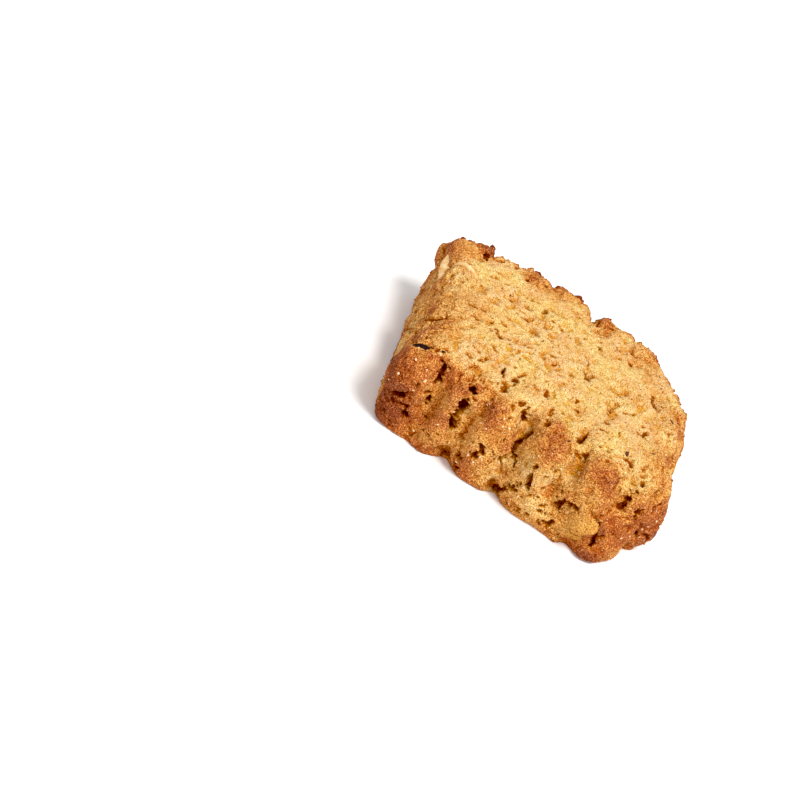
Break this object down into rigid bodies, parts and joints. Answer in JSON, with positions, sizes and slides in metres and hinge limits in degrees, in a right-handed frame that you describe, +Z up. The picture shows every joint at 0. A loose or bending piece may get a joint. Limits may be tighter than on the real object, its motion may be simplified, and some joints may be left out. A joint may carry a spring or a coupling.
{
  "type": "spelt biscuit",
  "caption": "Thick baked spelt biscuit lying flat: pale pitted top, browned rounded shoulders and a crumbly lobed wall with nut and chocolate bits.",
  "frame": {"origin": "middle of the flat underside's bounding box, on the surface that the biscuit lies on", "axes": "+X along the biscuit's length, +Y from the lobed front wall to the back edge, +Z up through the pale top face"},
  "size_m": [0.0786, 0.0622, 0.0242],
  "materials": {
    "biscuit_crumb": "matte baked crumb"
  },
  "bodies": {
    "root": {"biscuit": "biscuit_crumb"}
  },
  "joints": []
}
